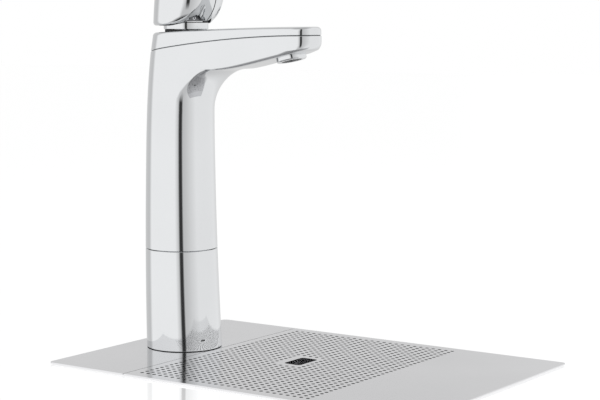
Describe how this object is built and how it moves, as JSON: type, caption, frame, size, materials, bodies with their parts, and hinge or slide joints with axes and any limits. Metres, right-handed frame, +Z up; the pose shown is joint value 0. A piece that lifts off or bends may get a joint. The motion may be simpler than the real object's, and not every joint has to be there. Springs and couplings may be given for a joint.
{
  "type": "boiling water tap",
  "caption": "Worktop tap for boiling and chilled water: chrome column with a forward spout, two rocking levers on top and a perforated drip plate over a drained tray.",
  "frame": {"origin": "where the tap's vertical axis meets the worktop surface, at the centre of the hole that the shank goes through", "axes": "+Z up, -Y forward along the spout, +X towards the chilled water side"},
  "size_m": [0.231, 0.34, 0.4336],
  "materials": {
    "chrome": "polished chrome plate over brass",
    "satin_steel": "stainless sheet, fine satin polish",
    "steel": "plain stainless steel, turned or stamped",
    "brass": "machined brass",
    "rubber": "black sealing rubber",
    "plastic": "dark moulded engineering plastic",
    "tube_plastic": "milky silicone and polymer water tube",
    "red_disc": "glossy red",
    "blue_disc": "glossy blue"
  },
  "bodies": {
    "tap_body": {"drip_tray": "satin_steel", "rear_plate": "satin_steel", "drain_strainer": "chrome", "drain_seal": "rubber", "drain_nut": "brass", "base_gasket": "rubber", "threaded_shank": "brass", "deck_washer": "rubber", "clamp_washer": "steel", "lock_nut": "brass", "tube_grommet": "rubber", "riser": "chrome", "joining_sleeve": "brass", "sleeve_screws": "steel", "tube_spacer": "plastic", "column_body": "chrome", "head_bracket": "steel", "bracket_screws": "steel", "head_stem": "brass", "top_cover": "chrome", "neck_seal": "rubber", "neck_collar": "chrome", "pivot_block": "steel", "pivot_grub_screw": "steel", "lever_axle": "steel", "pivot_washers": "steel", "hot_spring": "steel", "cold_spring": "steel", "hot_switch": "plastic", "cold_switch": "plastic", "switch_screws": "steel", "hot_tube": "tube_plastic", "cold_tube": "tube_plastic", "vent_tube": "tube_plastic", "outlet_manifold": "plastic", "nozzle_ring": "chrome", "nozzle_insert": "plastic", "nozzle_seal": "rubber"},
    "hot_lever": {"hot_lever": "chrome", "hot_indicator": "red_disc"},
    "cold_lever": {"cold_lever": "chrome", "cold_indicator": "blue_disc"},
    "grille": {"grille_cover": "satin_steel", "cover_feet": "rubber"}
  },
  "joints": [
    {"name": "hot_lever_hinge", "type": "hinge", "parent": "tap_body", "child": "hot_lever", "pos_m": [0, -0.002, 0.2826], "axis": [1, 0, 0], "range_deg": [-6, 8], "stiffness_Nm_per_rad": 4},
    {"name": "cold_lever_hinge", "type": "hinge", "parent": "tap_body", "child": "cold_lever", "pos_m": [0, -0.002, 0.2826], "axis": [1, 0, 0], "range_deg": [-6, 8], "stiffness_Nm_per_rad": 4},
    {"name": "grille_lift", "type": "slide", "parent": "tap_body", "child": "grille", "axis": [0, 0, 1], "range_m": [0, 0.06]}
  ]
}
